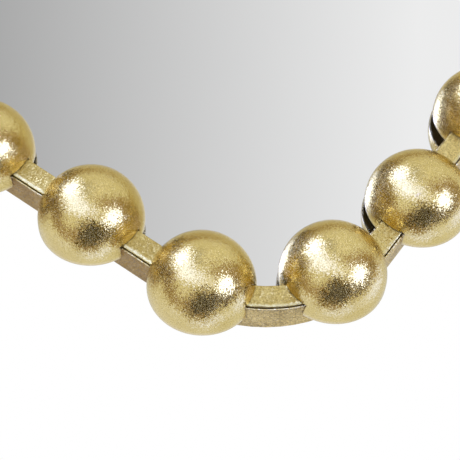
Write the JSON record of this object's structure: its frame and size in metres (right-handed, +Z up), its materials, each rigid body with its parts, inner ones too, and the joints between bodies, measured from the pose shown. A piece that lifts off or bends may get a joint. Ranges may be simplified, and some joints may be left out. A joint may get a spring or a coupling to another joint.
{
  "type": "arched wall mirror",
  "caption": "Arched wall mirror with a flat bottom, rounded lower corners and gold half balls threaded along a narrow metal rail.",
  "frame": {"origin": "on the wall plane, on the middle pad of the bottom rail, at the rail's centre line", "axes": "+Z up, the mirror faces -Y, +Y points into the wall, +X to the right of someone who looks at the mirror"},
  "size_m": [0.6077, 0.0512, 0.9332],
  "materials": {
    "leafed_dome": "antique gold leaf, speckled, half gloss",
    "leafed_strip": "granular gold leaf",
    "leafed_channel": "dull bronze-gold leaf",
    "plain_steel": "plain steel",
    "zinc_screws": "zinc plated",
    "zinc_clips": "zinc plated",
    "ring_wire": "zinc plated wire",
    "foam_tape": "black foam tape",
    "mirror_glass": "silvered float glass",
    "board": "brown hardboard",
    "pad_rubber": "soft black rubber"
  },
  "bodies": {
    "frame": {"frame_channel": "leafed_channel", "front_strip": "leafed_strip", "dome_posts": "plain_steel", "dome_screws": "zinc_screws", "spacer_sleeves": "plain_steel", "glass_ledge": "leafed_channel", "glass_tape": "foam_tape", "mirror_glass": "mirror_glass", "backing_board": "board", "retaining_clips": "zinc_clips", "clip_screws": "zinc_screws", "hanger_screws": "zinc_screws", "hanger_strap_right": "zinc_clips", "hanger_strap_left": "zinc_clips", "wall_pads": "pad_rubber", "dome_01": "leafed_dome", "dome_02": "leafed_dome", "dome_03": "leafed_dome", "dome_04": "leafed_dome", "dome_05": "leafed_dome", "dome_06": "leafed_dome", "dome_07": "leafed_dome", "dome_08": "leafed_dome", "dome_09": "leafed_dome", "dome_10": "leafed_dome", "dome_11": "leafed_dome", "dome_12": "leafed_dome", "dome_13": "leafed_dome", "dome_14": "leafed_dome", "dome_15": "leafed_dome", "dome_16": "leafed_dome", "dome_17": "leafed_dome", "dome_18": "leafed_dome", "dome_19": "leafed_dome", "dome_20": "leafed_dome", "dome_21": "leafed_dome", "dome_22": "leafed_dome", "dome_23": "leafed_dome", "dome_24": "leafed_dome", "dome_25": "leafed_dome", "dome_26": "leafed_dome", "dome_27": "leafed_dome", "dome_28": "leafed_dome", "dome_29": "leafed_dome", "dome_30": "leafed_dome", "dome_31": "leafed_dome"},
    "ring_right": {"d_ring_right": "ring_wire"},
    "ring_left": {"d_ring_left": "ring_wire"}
  },
  "joints": [
    {"name": "ring_right_swing", "type": "hinge", "parent": "frame", "child": "ring_right", "pos_m": [0.2715, -0.0026, 0.58845], "axis": [1, 0, 0], "range_deg": [0, 180]},
    {"name": "ring_left_swing", "type": "hinge", "parent": "frame", "child": "ring_left", "pos_m": [-0.2715, -0.0026, 0.58845], "axis": [1, 0, 0], "range_deg": [0, 180]}
  ]
}
